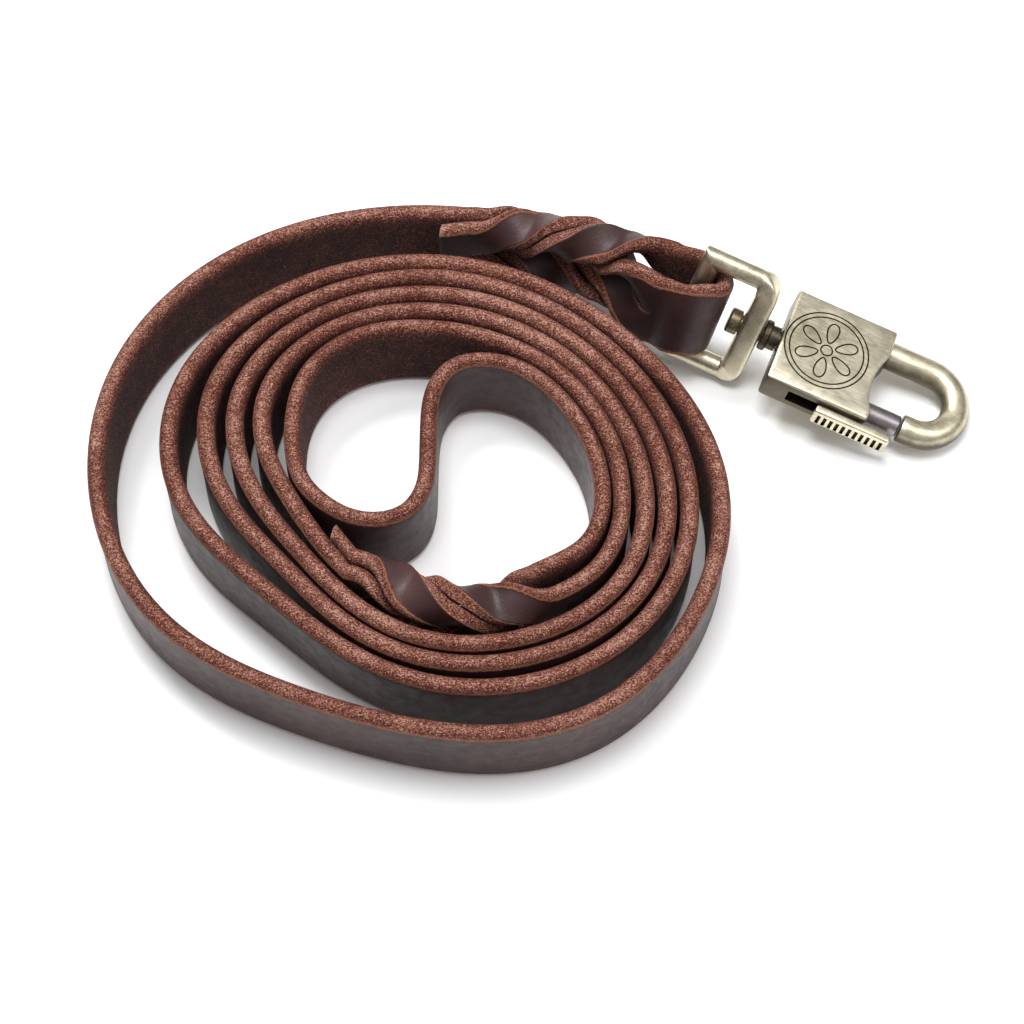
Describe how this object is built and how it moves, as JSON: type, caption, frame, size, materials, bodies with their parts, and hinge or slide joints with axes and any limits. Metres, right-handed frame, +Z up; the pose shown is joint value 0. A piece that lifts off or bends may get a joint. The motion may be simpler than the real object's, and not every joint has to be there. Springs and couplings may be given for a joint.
{
  "type": "training leash",
  "caption": "Flat leather training leash coiled on edge, with slit-braided ends, a hand loop, and a swivel snap hook with a thumb-slide locking bolt.",
  "frame": {"origin": "on the table plane, under the middle of the leash's bounding box", "axes": "+Z up from the table, +X along the longest extent, towards the hook, +Y to the side where the clasp's end of the strap leaves the coil"},
  "size_m": [0.1804, 0.1281, 0.0292],
  "materials": {
    "leather": "dark brown, semi-gloss on the grain side and suede-like on the flesh side and edges",
    "antique_brass": "antiqued brass plating, satin",
    "dark_brass": "dark antiqued brass, satin",
    "bolt_steel": "dark grey plated steel, satin"
  },
  "bodies": {
    "strap": {"strap_coil": "leather", "hand_braid_standing": "leather", "hand_braid_tail": "leather", "hand_loop": "leather", "clip_braid_standing": "leather", "clip_braid_tail": "leather", "clip_loop": "leather"},
    "eye": {"swivel_eye": "antique_brass"},
    "hook": {"hook_body": "antique_brass", "swivel_rivet": "antique_brass", "swivel_collar": "dark_brass", "bolt_spring": "bolt_steel"},
    "bolt": {"lock_bolt": "bolt_steel", "thumb_slide": "antique_brass"}
  },
  "joints": [
    {"name": "eye_hinge", "type": "hinge", "parent": "strap", "child": "eye", "pos_m": [0.03242, 0.03948, 0.01662], "axis": [0.316, 0.2485, 0.9156], "range_deg": [-38, 90]},
    {"name": "hook_swivel", "type": "hinge", "parent": "eye", "child": "hook", "pos_m": [0.0504, 0.0329, 0.0122], "axis": [0.915, -0.3349, -0.225], "continuous": true},
    {"name": "bolt_slide", "type": "slide", "parent": "hook", "child": "bolt", "axis": [-0.915, 0.3349, 0.225], "range_m": [0, 0.0064], "stiffness_N_per_m": 300, "springref_m": -0.01, "deforming": ["bolt_spring"]}
  ]
}
